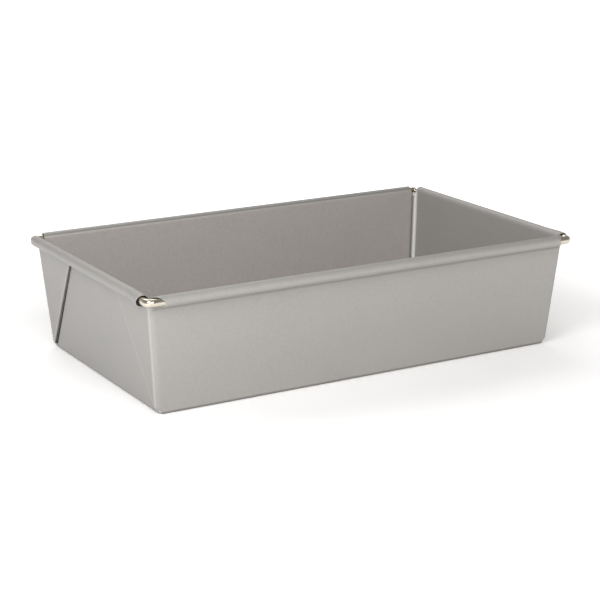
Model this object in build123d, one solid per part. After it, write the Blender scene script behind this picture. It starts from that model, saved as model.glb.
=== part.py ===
from build123d import *
import os
from math import cos, radians, sin, tan

# A folded loaf pan, in millimetres. The rim is the long way along X, Z is up, and the origin is on the
# table, under the middle of the pan.

# Driving dimensions
RIM_LENGTH = 250.0        # over the rolled rim, away from the opened ends of its rolls
RIM_WIDTH = 150.0
HEIGHT = 61.2
SHEET = 0.5               # steel sheet thickness
WIRE_DIAMETER = 4.0       # rim wire
FLARE = 4.84              # how far every wall leans outward, in degrees
LAYER_GAP = 0.23          # air between two layers of a fold
ROLL_CLEARANCE = 0.3      # between the wire and the sheet rolled round it, on radius
CORNER_RADIUS = 2.7       # outside bend where a long wall turns round the corner
BASE_RADIUS = 1.4         # outside bend between base and walls
FLOOR_CORNER = 1.2        # plan radius of the floor's inside corners, which the folds' knots bury

# The rim
ROLL_RADIUS = WIRE_DIAMETER / 2 + ROLL_CLEARANCE + SHEET
ROLL_X = RIM_LENGTH / 2 - ROLL_RADIUS
ROLL_Y = RIM_WIDTH / 2 - ROLL_RADIUS
ROLL_Z = HEIGHT - ROLL_RADIUS
END_LIP = 104.0           # degrees past the outside of the roll at which the sheet stops: end walls
LONG_LIP = 138.0          # and long walls, which have no folded layers under their roll
WALL_TOP = ROLL_Z - 0.5   # the walls stop here and the rolls go on in line with them
WIRE_DROP = 0.2           # the wire lies low in the rolls
WIRE_OUT = 0.15           # and towards their outside
WIRE_ELBOW = 2.6          # bend radius of the wire's centre line at each corner
WIRE_BOW = 0.8            # how far the wire leans out of the two opened mouths at the front corners
WIRE_JOINT = 0.4          # gap between the two cut ends of the wire, inside the back roll

# Each roll stops short of the corner of the rim, in a mouth that shows the wire. For each mouth: how far
# its cut edge is from the crossing of the two rolls' axes, how much farther it is for each millimetre
# outward and upward, and how much wider the roll is opened there, on radius.
END_MOUTHS = {
    ("left", "front"): (7.05, 0.17, -0.32, 0.6),
    ("left", "back"): (4.0, 0.0, 0.3, 0.0),
    ("right", "front"): (4.9, 0.0, 0.0, 0.6),
    ("right", "back"): (4.4, 0.0, 0.0, 0.0),
}
LONG_MOUTHS = {
    ("left", "front"): (5.0, 0.9, -0.6, 0.0),
    ("left", "back"): (5.8, 0.1, 0.0, 0.0),
    ("right", "front"): (4.7, 0.6, 0.0, 0.0),
    ("right", "back"): (5.2, 0.0, 0.0, 0.0),
}
OPENED = 8.0              # a roll is opened this far from the crossing of the axes
NARROWED = 18.0           # and is back to its own size here

# The folded corners. Outward from the pan the layers are the end wall, a hidden layer that doubles
# back from it, and an outer layer that runs round the corner into the long wall. The hidden and outer
# layers are one triangular ear of sheet, folded flat along its free edge.
KNOT_TOP = 3.4            # below this the layers of a corner are pinched into one knot
FOLD_TOP = ROLL_Z - 2.35  # the ears stop here, under the wire
EAR_START = 2.65          # ear's width at the knot, from the long wall to the centre of its fold
EAR_SPREAD = {"front": 0.675, "back": 0.765}   # ear's growth in width for each millimetre of height
HEM_REACH = 1.3           # from the end wall to the centre of the hem that closes the corner inside

# Horizontal thickness and spacing of leaning layers, and the same radius for each layer's bend
SLOPE = tan(radians(FLARE))
THICK = SHEET / cos(radians(FLARE))
PITCH = THICK + LAYER_GAP
FOLD_RADIUS = PITCH / 2
OUTER_BEND = CORNER_RADIUS - THICK / 2
HIDDEN_BEND = OUTER_BEND - PITCH
END_BEND = HIDDEN_BEND - PITCH


def wall_middle(roll_position, z):
    """Distance from the pan's centre to the middle of a wall's thickness at height z."""
    to_wall = (ROLL_RADIUS - SHEET / 2) / cos(radians(FLARE))
    return roll_position - to_wall + (z - ROLL_Z) * SLOPE


def end_wall(z):
    return wall_middle(ROLL_X, z)


def long_wall(z):
    return wall_middle(ROLL_Y, z)


def bend_centre(z):
    """Common centre of the three bends of the corner where x and y are positive."""
    return end_wall(z) + 2 * PITCH - OUTER_BEND, long_wall(z) - OUTER_BEND


def straight(x1, y1, x2, y2, z):
    return Line((x1, y1, z), (x2, y2, z))


def bend(cx, cy, radius, first, sweep, z):
    return CenterArc((cx, cy, z), radius, first, sweep)


def folded_corner(z, side, row):
    """One surface of the sheet from the middle of a long wall, through a corner's folds, to the middle
    of an end wall. side is 1 for the sheet's outer surface and -1 for its inner surface."""
    off = side * THICK / 2
    cx, cy = bend_centre(z)
    ear = long_wall(z) - EAR_START - (z - KNOT_TOP) * EAR_SPREAD[row]
    hem = end_wall(z) - HEM_REACH
    outer_x = end_wall(z) + 2 * PITCH + off
    hidden_x = end_wall(z) + PITCH - off
    end_x = end_wall(z) + off
    long_y = long_wall(z) + off
    hidden_y = long_wall(z) - PITCH - off
    hem_y = long_wall(z) - 2 * PITCH + off
    return [
        straight(0, long_y, cx, long_y, z),
        bend(cx, cy, OUTER_BEND + off, 90, -90, z),
        straight(outer_x, cy, outer_x, ear, z),
        bend(end_wall(z) + 1.5 * PITCH, ear, FOLD_RADIUS + off, 0, -180, z),
        straight(hidden_x, ear, hidden_x, cy, z),
        bend(cx, cy, HIDDEN_BEND - off, 0, 90, z),
        straight(cx, hidden_y, hem, hidden_y, z),
        bend(hem, long_wall(z) - 1.5 * PITCH, FOLD_RADIUS - off, 90, 180, z),
        straight(hem, hem_y, cx, hem_y, z),
        bend(cx, cy, END_BEND + off, 90, -90, z),
        straight(end_x, cy, end_x, 0, z),
    ]


def sheet_surface(z, side):
    """Face inside one surface of the folded sheet at height z, all the way round the pan."""
    back = folded_corner(z, side, "back")
    front = [mirror(edge, about=Plane.XZ) for edge in folded_corner(z, side, "front")]
    right = back + front[::-1]
    left = [mirror(edge, about=Plane.YZ) for edge in right]
    return Face(Wire([edge.edge() for edge in right + left[::-1]]))


def rounded_outline(half_x, half_y, radius, z):
    return Pos(0, 0, z) * RectangleRounded(2 * half_x, 2 * half_y, radius)


def folded_walls():
    """All four walls with their corner folds, from the knots up to the underside of the rim."""
    shells = [
        loft([sheet_surface(KNOT_TOP, side), sheet_surface(FOLD_TOP, side)], ruled=True) for side in (1, -1)
    ]
    return shells[0] - shells[1]


def base_tray():
    """The base and the first few millimetres of every wall."""
    half = THICK / 2
    skins = []
    for side, floor, radius in ((1, 0, CORNER_RADIUS), (-1, SHEET, FLOOR_CORNER)):
        levels = [
            rounded_outline(end_wall(z) + side * half, long_wall(z) + side * half, radius, z)
            for z in (floor, KNOT_TOP)
        ]
        skin = loft(levels, ruled=True)
        skins.append(fillet(skin.edges().group_by(Axis.Z)[0], BASE_RADIUS - floor))
    return skins[0] - skins[1]


def knot_outline(z, tuck):
    """Plan of a pinched corner where x and y are positive. tuck is how far it is pushed in."""
    half = THICK / 2
    out_x = end_wall(z) + 2 * PITCH + half - tuck
    out_y = long_wall(z) + half - min(tuck, half)
    in_x = end_wall(z) - half
    in_y = long_wall(z) - 2 * PITCH - half
    hem_x = end_wall(z) - HEM_REACH - FOLD_RADIUS - tuck
    ear_y = long_wall(z) - EAR_START - FOLD_RADIUS - half
    corners = [(out_x, out_y), (hem_x, out_y), (hem_x, in_y), (in_x, in_y), (in_x, ear_y), (out_x, ear_y)]
    face = make_face(Polyline(*corners, close=True))
    outside = face.vertices().sort_by(Axis((0, 0, 0), (1, 1, 0)))[-1]
    return Pos(0, 0, z) * fillet(outside, CORNER_RADIUS)


def corner_knot():
    """The corner's layers, pinched solid where they run down into the base."""
    tucked = 2 * PITCH + THICK / 2
    return loft([knot_outline(SHEET, tucked), knot_outline(KNOT_TOP, 0)], ruled=True)


def end_wall_top(z):
    """Plan of the end wall above the ears, at the end where x is positive, with its two hems."""
    half = THICK / 2
    cx, cy = bend_centre(z)
    hem = end_wall(z) - HEM_REACH
    hem_y = long_wall(z) - 2 * PITCH
    outer = [
        straight(end_wall(z) + half, 0, end_wall(z) + half, cy, z),
        bend(cx, cy, END_BEND + half, 0, 90, z),
        straight(cx, hem_y + half, hem, hem_y + half, z),
        straight(hem, hem_y + half, hem, hem_y - half, z),
    ]
    inner = [
        straight(hem, hem_y - half, cx, hem_y - half, z),
        bend(cx, cy, END_BEND - half, 90, -90, z),
        straight(end_wall(z) - half, cy, end_wall(z) - half, 0, z),
    ]
    back = outer + inner
    front = [mirror(edge, about=Plane.XZ) for edge in back]
    return Face(Wire([edge.edge() for edge in back + front[::-1]]))


def long_wall_top(z):
    """Plan of the long wall above the ears, at the side where y is positive, between its corner bends."""
    cx, cy = bend_centre(z)
    return Pos(0, long_wall(z), z) * Rectangle(2 * cx, THICK)


def roll_centre(opening):
    """Centre of a roll's section about the roll's own axis: x is outward from the pan and y is up. An
    opened roll keeps the level of its top and stays in line with the wall."""
    lean = radians(FLARE)
    return opening * (1 - sin(lean)) / cos(lean), -opening


def roll_profile(lip, opening):
    """Section of the rolled rim about the roll's own axis. The sheet goes on from the wall, turns out
    over the wire and stops at the lip."""
    lean = radians(FLARE)
    inside = ROLL_RADIUS - SHEET
    start = 180 - FLARE
    turn = start + lip
    centre_x, centre_y = roll_centre(opening)

    def on_wall(radius):
        return (WALL_TOP - ROLL_Z) * SLOPE - radius / cos(lean), WALL_TOP - ROLL_Z

    def on_roll(radius, angle):
        reach = radius + opening
        return centre_x + reach * cos(radians(angle)), centre_y + reach * sin(radians(angle))

    return make_face([
        Line(on_wall(ROLL_RADIUS), on_roll(ROLL_RADIUS, start)),
        CenterArc((centre_x, centre_y), ROLL_RADIUS + opening, start, -turn),
        Line(on_roll(ROLL_RADIUS, -lip), on_roll(inside, -lip)),
        CenterArc((centre_x, centre_y), inside + opening, start, -turn),
        Line(on_roll(inside, start), on_wall(inside)),
        Line(on_wall(inside), on_wall(ROLL_RADIUS)),
    ])


def mouth_cut(end, mouth):
    """Plane across a roll that lies along X, facing the roll's middle. end is the x of the crossing."""
    distance, outward, upward, opening = mouth
    centre_x, centre_y = roll_centre(opening)
    inward = -1 if end > 0 else 1
    return Plane(origin=(end + inward * distance, -centre_x, centre_y), z_dir=(inward, outward, -upward))


def roll(corner, lip, mouth_low, mouth_high):
    """A roll along X about its own axis, outside towards -Y, between the crossings at x = -corner and
    x = corner."""
    low, high = mouth_low[-1], mouth_high[-1]
    stations = [(-corner, low), (OPENED - corner, low), (NARROWED - corner, 0), (corner - NARROWED, 0),
                (corner - OPENED, high), (corner, high)]
    sections = [
        Plane(origin=(x, 0, 0), x_dir=(0, -1, 0), z_dir=(-1, 0, 0)) * roll_profile(lip, opening)
        for x, opening in stations
    ]
    bar = loft(sections, ruled=True)
    for end, mouth in ((-corner, mouth_low), (corner, mouth_high)):
        bar = split(bar, bisect_by=mouth_cut(end, mouth), keep=Keep.TOP)
    return bar


def rolled_rim():
    """The four rolls, each turned about Z to face outward from its own wall."""
    left, right, front, back = "left", "right", "front", "back"
    ends, longs = END_MOUTHS, LONG_MOUTHS
    front_roll = roll(ROLL_X, LONG_LIP, longs[left, front], longs[right, front])
    back_roll = roll(ROLL_X, LONG_LIP, longs[right, back], longs[left, back])
    right_roll = roll(ROLL_Y, END_LIP, ends[right, front], ends[right, back])
    left_roll = roll(ROLL_Y, END_LIP, ends[left, back], ends[left, front])
    return [
        Pos(0, -ROLL_Y, ROLL_Z) * front_roll,
        Pos(0, ROLL_Y, ROLL_Z) * Rot(0, 0, 180) * back_roll,
        Pos(ROLL_X, 0, ROLL_Z) * Rot(0, 0, 90) * right_roll,
        Pos(-ROLL_X, 0, ROLL_Z) * Rot(0, 0, -90) * left_roll,
    ]


def pan_body():
    """The whole pan, one folded sheet."""
    end_top = loft([end_wall_top(FOLD_TOP), end_wall_top(WALL_TOP)], ruled=True)
    long_top = loft([long_wall_top(FOLD_TOP), long_wall_top(WALL_TOP)], ruled=True)
    knots = [corner_knot()]
    knots.append(mirror(knots[0], about=Plane.XZ))
    knots += [mirror(knot, about=Plane.YZ) for knot in knots]
    tops = [end_top, mirror(end_top, about=Plane.YZ), long_top, mirror(long_top, about=Plane.XZ)]
    body = folded_walls()
    for piece in [base_tray()] + tops + knots + rolled_rim():
        body = body.fuse(piece)
    return body


def rim_wire():
    """The loop of wire inside the rolls. Its cut ends meet in the middle of the back roll."""
    x, y = ROLL_X + WIRE_OUT, ROLL_Y + WIRE_OUT
    right = [(x + WIRE_BOW, -y), (x, NARROWED - y), (x, y), (WIRE_JOINT / 2, y)]
    left = [(-across, along) for across, along in right]
    corners = left[::-1] + right
    path = Pos(0, 0, ROLL_Z - WIRE_DROP) * FilletPolyline(*corners, radius=WIRE_ELBOW)
    section = Plane(origin=path @ 0, z_dir=path % 0) * Circle(WIRE_DIAMETER / 2)
    return sweep(section, path=path)


os.makedirs("parts", exist_ok=True)
for node, shape in (("pan_body", pan_body()), ("rim_wire", rim_wire())):
    export_step(shape, f"parts/{node}.step")
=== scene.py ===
"""Looks of the folded loaf pan: satin coated sheet, bright plated rim wire, a pale floor and soft light."""

from math import cos, radians, sin

import bpy
from mathutils import Matrix, Vector


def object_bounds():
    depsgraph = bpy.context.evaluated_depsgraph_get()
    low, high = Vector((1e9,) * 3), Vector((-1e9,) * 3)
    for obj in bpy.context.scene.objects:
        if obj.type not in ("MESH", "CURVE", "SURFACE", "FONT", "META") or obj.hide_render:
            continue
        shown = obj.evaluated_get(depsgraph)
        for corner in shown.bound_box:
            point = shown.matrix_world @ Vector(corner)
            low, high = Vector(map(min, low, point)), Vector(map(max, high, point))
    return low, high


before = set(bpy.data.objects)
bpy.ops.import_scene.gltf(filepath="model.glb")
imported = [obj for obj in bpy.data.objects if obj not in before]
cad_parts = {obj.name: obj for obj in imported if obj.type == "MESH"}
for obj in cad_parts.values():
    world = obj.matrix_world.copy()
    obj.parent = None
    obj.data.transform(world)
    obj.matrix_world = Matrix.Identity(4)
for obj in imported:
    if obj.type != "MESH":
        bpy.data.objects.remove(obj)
cad_low, cad_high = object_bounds()

# The pan's own sizes, in metres. Everything else is placed from these.
LENGTH = cad_high.x - cad_low.x
WIDTH = cad_high.y - cad_low.y
HEIGHT = cad_high.z - cad_low.z
MM = 0.001

# The walls lean outward by LEAN for each metre of height. The outer faces of the ears at the ends, and of
# the long walls, would meet the table at these distances from the pan's middle. The end walls' own outer
# faces are EAR_LAYERS farther in. The bend round the base is this high, and the rolled rim starts here.
LEAN = 0.0847
END_FOOT = LENGTH / 2 - 9.7 * MM
SIDE_FOOT = WIDTH / 2 - 10.0 * MM
EAR_LAYERS = 1.5 * MM
BASE_BEND = 1.4 * MM
RIM_BOTTOM = HEIGHT - 5.6 * MM

# The ears' free edges are this far in from the long walls' outer faces at the table, and this much
# farther for each metre of height.
EAR_FOOT = 1.1 * MM
FRONT_EAR = 0.675
BACK_EAR = 0.765

# The painted highlight on the hem inside each corner, and the painted shade in the slit beside it: each
# lies between two depths in from the ears' outer faces, and two in from the long walls' outer faces.
HEM_FROM_END = (1.7 * MM, 3.2 * MM)
HEM_FROM_SIDE = (0.5 * MM, 3.9 * MM)
SLIT_FROM_END = (3.2 * MM, 4.2 * MM)
SLIT_FROM_SIDE = (0.3 * MM, 2.3 * MM)

# Ranges of a noise's values, which lie around 0.5. The narrower the range, the harder the patches it gives.
BROAD = (0.3, 0.7)
MIDDLE = (0.35, 0.65)
NARROW = (0.4, 0.6)

# Colours of the coated sheet
COATING = (0.36, 0.35, 0.338, 1)
LIGHT_MOTTLE = (0.396, 0.385, 0.371, 1)
CLOUDED = (0.401, 0.384, 0.369, 1)
# Painted light that makes the inner surfaces paler
PAINTED_INSIDE_LIGHT = (0.54, 0.507, 0.49, 1)
# Painted highlight on the corner bends and ear folds, and the lighter tone of rubbed edges
RUBBED_AND_HIGHLIGHT = (0.50, 0.495, 0.485, 1)
# Painted highlight on the hems inside the corners
PAINTED_HEM_HIGHLIGHT = (0.76, 0.76, 0.74, 1)
# Painted shade for the corner slits, the base bend, under the long rolls and beside the ears
PAINTED_SHADE = (0.10, 0.095, 0.085, 1)
DEEP_PAINTED_SHADE = (0.01, 0.01, 0.008, 1)

# Colours of the plated wire
PLATING = (0.60, 0.545, 0.455, 1)
LIGHT_PLATING = (0.68, 0.63, 0.54, 1)

# Tints of the lights
WARM = (1.0, 0.97, 0.93)
SOFTLY_WARM = (1.0, 0.985, 0.96)
WHITE = (1.0, 1.0, 1.0)

# The floor glows evenly out to the first distance from the pan's middle, and fully from the second on.
DIM_FLOOR = 0.45 * LENGTH
BRIGHT_FLOOR = 1.5 * LENGTH

# Camera: where it looks from, in degrees, its distance from what it aims at, how high it aims, and its
# focal length and sensor width in millimetres
CAMERA_AZIMUTH = -30.05
CAMERA_ELEVATION = 15.78
CAMERA_ROLL = -0.11
CAMERA_DISTANCE = 3.722 * LENGTH
CAMERA_AIM = 0.392 * HEIGHT
LENS = 104.27
SENSOR = 36.0


def direction(azimuth, elevation):
    """Unit vector from the pan towards something seen at that azimuth and elevation, in degrees."""
    around = radians(azimuth)
    above = radians(elevation)
    return Vector((sin(around) * cos(above), -cos(around) * cos(above), sin(above)))


# Building blocks of the node materials

def nodes_of(name):
    """A new material with its node tree, its shader and the place of the point being shaded."""
    material = bpy.data.materials.new(name)
    material.use_nodes = True
    tree = material.node_tree
    place = add(tree, "ShaderNodeTexCoord").outputs["Object"]
    return material, tree, tree.nodes["Principled BSDF"], place


def add(tree, kind, inputs=None, **settings):
    """A node of that kind. inputs gives its sockets a value, or links them to another node's output."""
    node = tree.nodes.new(kind)
    for key, value in settings.items():
        setattr(node, key, value)
    for key, value in (inputs or {}).items():
        if isinstance(value, bpy.types.NodeSocket):
            tree.links.new(value, node.inputs[key])
        else:
            node.inputs[key].default_value = value
    return node


def noise(tree, place, size, detail=3.0, roughness=0.5):
    """Noise whose blotches are about size across, in metres, as a value around 0.5."""
    inputs = {"Vector": place, "Scale": 1 / size, "Detail": detail, "Roughness": roughness}
    return add(tree, "ShaderNodeTexNoise", inputs).outputs["Fac"]


def spread(tree, value, low, high, to_low, to_high):
    """value carried from low..high to to_low..to_high, and kept inside them."""
    inputs = {"Value": value, "From Min": low, "From Max": high, "To Min": to_low, "To Max": to_high}
    return add(tree, "ShaderNodeMapRange", inputs).outputs["Result"]


def rising(tree, value, low, high):
    """0 up to low, 1 from high on."""
    return spread(tree, value, low, high, 0.0, 1.0)


def falling(tree, value, low, high):
    """1 up to low, 0 from high on."""
    return spread(tree, value, low, high, 1.0, 0.0)


def maths(tree, operation, first, second=0.0):
    """One maths node's result."""
    return add(tree, "ShaderNodeMath", {0: first, 1: second}, operation=operation).outputs[0]


def product(tree, first, *others):
    """All the values multiplied together."""
    for other in others:
        first = maths(tree, "MULTIPLY", first, other)
    return first


def mix(tree, share, first, second):
    """Colour between first and second."""
    node = add(tree, "ShaderNodeMix", data_type="RGBA")
    # The node has sockets for every type of value. These are its factor, its two colours and its result.
    for socket, value in ((node.inputs[0], share), (node.inputs[6], first), (node.inputs[7], second)):
        if isinstance(value, bpy.types.NodeSocket):
            tree.links.new(value, socket)
        else:
            socket.default_value = value
    return node.outputs[2]


def bump(tree, height, depth, normal=None):
    """Normal of a surface whose height goes up and down by depth, in metres."""
    inputs = {"Height": height, "Distance": depth, "Strength": 1.0}
    if normal is not None:
        inputs["Normal"] = normal
    return add(tree, "ShaderNodeBump", inputs).outputs["Normal"]


def worn_edges(tree, width):
    """1 on sharp edges of the metal, falling to 0 at about width from them."""
    rounded = add(tree, "ShaderNodeBevel", {"Radius": width}, samples=6).outputs["Normal"]
    flat = add(tree, "ShaderNodeNewGeometry").outputs["Normal"]
    turned = add(tree, "ShaderNodeVectorMath", {0: rounded, 1: flat}, operation="DOT_PRODUCT")
    # Cosines of the angle between the two normals: nearly none, and enough to count as an edge
    unturned = 0.995
    well_turned = 0.9
    return spread(tree, turned.outputs["Value"], unturned, well_turned, 0.0, 1.0)


# Where a point lies on the pan

def along(tree, place, axis):
    """How far along the X, Y or Z axis a point is."""
    return add(tree, "ShaderNodeSeparateXYZ", {0: place}).outputs[axis]


def inset(tree, place, axis, foot):
    """How far inside the pan's outer face across that axis a point is, at its own height."""
    leaned = maths(tree, "MULTIPLY", along(tree, place, "Z"), LEAN)
    across = maths(tree, "ABSOLUTE", along(tree, place, axis))
    return maths(tree, "SUBTRACT", foot, maths(tree, "SUBTRACT", across, leaned))


def from_end(tree, place):
    """How far in from the ears' outer faces a point is."""
    return inset(tree, place, "X", END_FOOT)


def from_side(tree, place):
    """How far in from the long walls' outer faces a point is."""
    return inset(tree, place, "Y", SIDE_FOOT)


def past_ear(tree, place):
    """How far past an ear's free edge a point is, towards the middle of the end wall."""
    growth = spread(tree, along(tree, place, "Y"), -1 * MM, 1 * MM, FRONT_EAR, BACK_EAR)
    ear = maths(tree, "ADD", maths(tree, "MULTIPLY", along(tree, place, "Z"), growth), EAR_FOOT)
    return maths(tree, "SUBTRACT", from_side(tree, place), ear)


# Parts of the sheet. Each function gives 1 on the part that it describes, and fades to 0 beside it.

def on_corner_bends(tree, place):
    """The ears' side of the four upright corner bends, where a highlight is painted."""
    near_end = falling(tree, from_end(tree, place), 0.1 * MM, 0.8 * MM)
    near_side = falling(tree, from_side(tree, place), 2.1 * MM, 3.1 * MM)
    return product(tree, near_end, near_side)


def strip(tree, depth, near, far):
    """1 between two depths, with soft edges."""
    soft = 0.3 * MM
    return product(tree, rising(tree, depth, near, near + soft), falling(tree, depth, far - soft, far))


def in_corners(tree, place, end_depths, side_depths):
    """An upright strip inside each of the four corners, between those depths from the end and the side."""
    from_ends = strip(tree, from_end(tree, place), *end_depths)
    from_sides = strip(tree, from_side(tree, place), *side_depths)
    return product(tree, from_ends, from_sides)


def inside(tree, place):
    """The pan's inner surfaces."""
    past_end = rising(tree, from_end(tree, place), EAR_LAYERS + 0.1 * MM, EAR_LAYERS + 0.4 * MM)
    past_side = rising(tree, from_side(tree, place), 0.2 * MM, 0.45 * MM)
    return product(tree, past_end, past_side)


def low_down(tree, place):
    """The bend round the base under the long walls, and less of it under the end walls."""
    bottom = falling(tree, along(tree, place, "Z"), 0.5 * BASE_BEND, 1.3 * BASE_BEND)
    long_side = spread(tree, from_side(tree, place), 1.0 * MM, 4.0 * MM, 1.0, 0.25)
    return product(tree, bottom, long_side)


def under_long_rolls(tree, place):
    """The outside of the long walls close under their rolls."""
    close = rising(tree, along(tree, place, "Z"), RIM_BOTTOM - 2.5 * MM, RIM_BOTTOM - 1.6 * MM)
    on_wall = maths(tree, "LESS_THAN", maths(tree, "ABSOLUTE", from_side(tree, place)), 0.3 * MM)
    return product(tree, close, on_wall)


def below_rim(tree, place):
    """Everything below the rolled rim."""
    return falling(tree, along(tree, place, "Z"), RIM_BOTTOM - 0.1 * MM, RIM_BOTTOM + 0.1 * MM)


def on_ear_edges(tree, place):
    """The folded free edges of the four ears, where a highlight is painted."""
    past = past_ear(tree, place)
    return product(
        tree,
        rising(tree, past, -1.5 * MM, -0.8 * MM),
        falling(tree, past, -0.3 * MM, 0.0),
        falling(tree, from_end(tree, place), 0.1 * MM, 0.5 * MM),
        below_rim(tree, place),
    )


def beside_ears(tree, place):
    """A strip of the end wall beside each ear's free edge, widest at the foot, that carries painted shade.
    """
    past = past_ear(tree, place)
    height = along(tree, place, "Z")
    width = spread(tree, height, 0.05 * HEIGHT, 0.8 * HEIGHT, 2.2 * MM, 1.0 * MM)
    return product(
        tree,
        rising(tree, past, -0.1 * MM, 0.1 * MM),
        falling(tree, maths(tree, "DIVIDE", past, width), 0.7, 1.0),
        maths(tree, "SUBTRACT", 1.0, inside(tree, place)),
        rising(tree, height, 1.6 * BASE_BEND, 2 * BASE_BEND),
        below_rim(tree, place),
    )


# The two metals

def coating(tree, place, mottle, cloud):
    """Colour of the clean sheet: finely mottled and clouded, with painted light that makes the inside
    paler, though hardly so on the end walls."""
    tone = mix(tree, rising(tree, mottle, *MIDDLE), COATING, LIGHT_MOTTLE)
    tone = mix(tree, spread(tree, cloud, *BROAD, 0.0, 0.35), tone, CLOUDED)
    speckle = spread(tree, mottle, *MIDDLE, 0.48, 0.76)
    off_ends = spread(tree, from_end(tree, place), 2.2 * MM, 3.2 * MM, 0.1, 1.0)
    # Painted light on the inner surfaces, speckled with the mottle
    return mix(tree, product(tree, inside(tree, place), speckle, off_ends), tone, PAINTED_INSIDE_LIGHT)


def highlights_and_rubbing(tree, place, mottle):
    """How much painted highlight lies on the corner bends and the ears' folds, and how much the edges are
    rubbed.
    """
    # Painted highlight on the corner bends
    bends = product(tree, on_corner_bends(tree, place), spread(tree, mottle, *BROAD, 0.6, 0.9))
    edges = product(tree, worn_edges(tree, 0.25 * MM), spread(tree, mottle, *NARROW, 0.2, 0.7))
    # Painted highlight on the ears' folded edges
    ears = product(tree, on_ear_edges(tree, place), spread(tree, mottle, *BROAD, 0.2, 0.5))
    return maths(tree, "MAXIMUM", maths(tree, "MAXIMUM", bends, edges), ears)


def with_painted_shade(tree, place, tone):
    """tone with painted shade in the slits beside the hems, along the base bend, under the long rolls and
    beside the ears.
    """
    # Painted shade in the slits beside the hems inside the corners
    slits = in_corners(tree, place, SLIT_FROM_END, SLIT_FROM_SIDE)
    tone = mix(tree, product(tree, slits, 0.4), tone, PAINTED_SHADE)
    # Painted shade along the base bend, where the pan meets the floor
    tone = mix(tree, product(tree, low_down(tree, place), 0.6), tone, PAINTED_SHADE)
    # Painted shade on the long walls just under their rolls
    tone = mix(tree, product(tree, under_long_rolls(tree, place), 0.28), tone, PAINTED_SHADE)
    # Darkest painted shade beside the ears' free edges, standing in for slits that open wider at the foot
    return mix(tree, product(tree, beside_ears(tree, place), 0.97), tone, DEEP_PAINTED_SHADE)


def coated_sheet():
    """Steel sheet with a satin silver-grey coating: rubbed lighter on its edges, with painted highlights on
    its corner bends, ear folds and the hems inside its corners, and painted shade in its slits and creases."""
    material, tree, shader, place = nodes_of("coated_sheet")
    grain = noise(tree, place, 0.35 * MM, 2.0)
    mottle = noise(tree, place, 1.4 * MM, 4.0, 0.6)
    cloud = noise(tree, place, 26 * MM, 3.0)
    highlights_and_wear = highlights_and_rubbing(tree, place, mottle)
    hems = in_corners(tree, place, HEM_FROM_END, HEM_FROM_SIDE)
    # Painted highlights on the corner bends and ear folds, and rubbed edges
    tone = mix(tree, highlights_and_wear, coating(tree, place, mottle, cloud), RUBBED_AND_HIGHLIGHT)
    # Painted highlight on the hems inside the corners
    tone = mix(tree, product(tree, hems, 0.9), tone, PAINTED_HEM_HIGHLIGHT)
    tree.links.new(with_painted_shade(tree, place, tone), shader.inputs["Base Color"])
    satin = spread(tree, mottle, *BROAD, 0.54, 0.62)
    polished = maths(tree, "SUBTRACT", satin, product(tree, highlights_and_wear, 0.3))
    tree.links.new(polished, shader.inputs["Roughness"])
    rippled = bump(tree, cloud, 0.05 * MM)
    tree.links.new(bump(tree, grain, 0.008 * MM, rippled), shader.inputs["Normal"])
    shader.inputs["Metallic"].default_value = 0.45
    return material


def plated_wire():
    """Bright nickel plating, warm in tone, with a faint haze and pits."""
    material, tree, shader, place = nodes_of("plated_wire")
    haze = noise(tree, place, 3 * MM, 4.0, 0.6)
    pits = noise(tree, place, 0.25 * MM, 2.0)
    tone = mix(tree, rising(tree, haze, *MIDDLE), PLATING, LIGHT_PLATING)
    tree.links.new(tone, shader.inputs["Base Color"])
    tree.links.new(spread(tree, haze, *BROAD, 0.10, 0.20), shader.inputs["Roughness"])
    tree.links.new(bump(tree, pits, 0.003 * MM), shader.inputs["Normal"])
    shader.inputs["Metallic"].default_value = 1.0
    return material


def finish_metal():
    """The CAD nodes keep their shape and get these materials."""
    for node, material in (("pan_body", coated_sheet()), ("rim_wire", plated_wire())):
        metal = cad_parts[node]
        metal.data.materials.clear()
        metal.data.materials.append(material)
        for slot in metal.material_slots:
            slot.material = material


# The studio

def pale_floor(glow, far_glow):
    """White paper, lit a little from below like the bed of a light table, and more so far from the pan."""
    material, tree, shader, place = nodes_of("pale_floor")
    paper = noise(tree, place, 0.8 * MM, 3.0)
    tree.links.new(bump(tree, paper, 0.01 * MM), shader.inputs["Normal"])
    shader.inputs["Base Color"].default_value = (0.93, 0.93, 0.93, 1)
    shader.inputs["Roughness"].default_value = 0.9
    shader.inputs["Specular IOR Level"].default_value = 0.2
    shader.inputs["Emission Color"].default_value = (1, 1, 1, 1)
    distance = add(tree, "ShaderNodeVectorMath", {0: place}, operation="LENGTH").outputs["Value"]
    strength = spread(tree, distance, DIM_FLOOR, BRIGHT_FLOOR, glow, far_glow)
    tree.links.new(strength, shader.inputs["Emission Strength"])
    return material


def make_floor(glow, far_glow):
    """A square of pale floor, far wider than the pan. It belongs to the studio and not to the object."""
    half = 24 * LENGTH
    corners = [(-half, -half, 0), (half, -half, 0), (half, half, 0), (-half, half, 0)]
    mesh = bpy.data.meshes.new("floor")
    mesh.from_pydata(corners, [], [(0, 1, 2, 3)])
    mesh.materials.append(pale_floor(glow, far_glow))
    floor = bpy.data.objects.new("floor", mesh)
    bpy.context.scene.collection.objects.link(floor)


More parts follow.
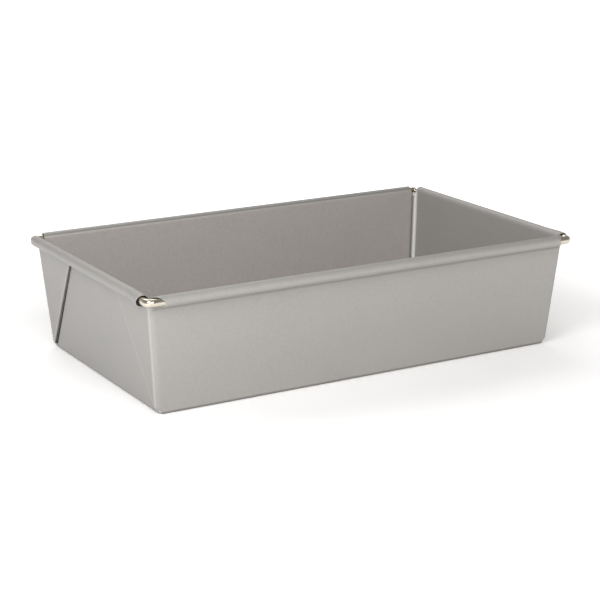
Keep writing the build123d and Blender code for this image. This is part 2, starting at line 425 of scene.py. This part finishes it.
def softbox(name, towards, distance, size, power, tint):
    """A square area light that faces the pan. distance and size are in pan lengths, power in watts."""
    light = bpy.data.lights.new(name, "AREA")
    light.shape = "SQUARE"
    light.size = size * LENGTH
    light.energy = power
    light.color = tint
    lamp = bpy.data.objects.new(name, light)
    bpy.context.scene.collection.objects.link(lamp)
    lamp.location = towards * distance * LENGTH
    lamp.rotation_euler = towards.to_track_quat("Z", "Y").to_euler()


def make_lights():
    """A small light close by on the left, a large warm one in front, and a larger one behind and above."""
    softbox("near_light", direction(-55, 40), distance=2.5, size=1, power=1.65, tint=WHITE)
    softbox("front_light", direction(-17, 35), distance=4.5, size=3, power=4.85, tint=WARM)
    softbox("back_light", direction(170, 50), distance=6, size=4, power=6.5, tint=SOFTLY_WARM)


def make_surroundings(horizon, overhead):
    """A pale studio: its brightness up to 12 degrees above the horizon, and from 25 degrees upward."""
    world = bpy.data.worlds.new("studio")
    world.use_nodes = True
    tree = world.node_tree
    upward = along(tree, add(tree, "ShaderNodeTexCoord").outputs["Generated"], "Z")
    horizon_top = sin(radians(12))
    overhead_start = sin(radians(25))
    strength = spread(tree, upward, horizon_top, overhead_start, horizon, overhead)
    background = tree.nodes["Background"]
    tree.links.new(strength, background.inputs["Strength"])
    background.inputs["Color"].default_value = (1, 1, 1, 1)
    bpy.context.scene.world = world
    bpy.context.scene.view_settings.view_transform = "Standard"


def make_camera():
    """The camera, rolled slightly, aims a little above the middle of the pan's base."""
    away = direction(CAMERA_AZIMUTH, CAMERA_ELEVATION)
    turn = away.to_track_quat("Z", "Y").to_matrix().to_4x4() @ Matrix.Rotation(radians(CAMERA_ROLL), 4, "Z")
    aim = turn.to_3x3() @ Vector((0, CAMERA_AIM, 0))
    data = bpy.data.cameras.new("camera")
    data.lens = LENS
    data.sensor_width = SENSOR
    data.clip_start = 0.1 * LENGTH
    data.clip_end = 100 * LENGTH
    camera = bpy.data.objects.new("camera", data)
    camera.matrix_world = Matrix.Translation(aim + away * CAMERA_DISTANCE) @ turn
    bpy.context.scene.collection.objects.link(camera)
    bpy.context.scene.camera = camera


finish_metal()
make_floor(glow=0.1, far_glow=0.7)
make_lights()
make_surroundings(horizon=0.62, overhead=0.28)
make_camera()
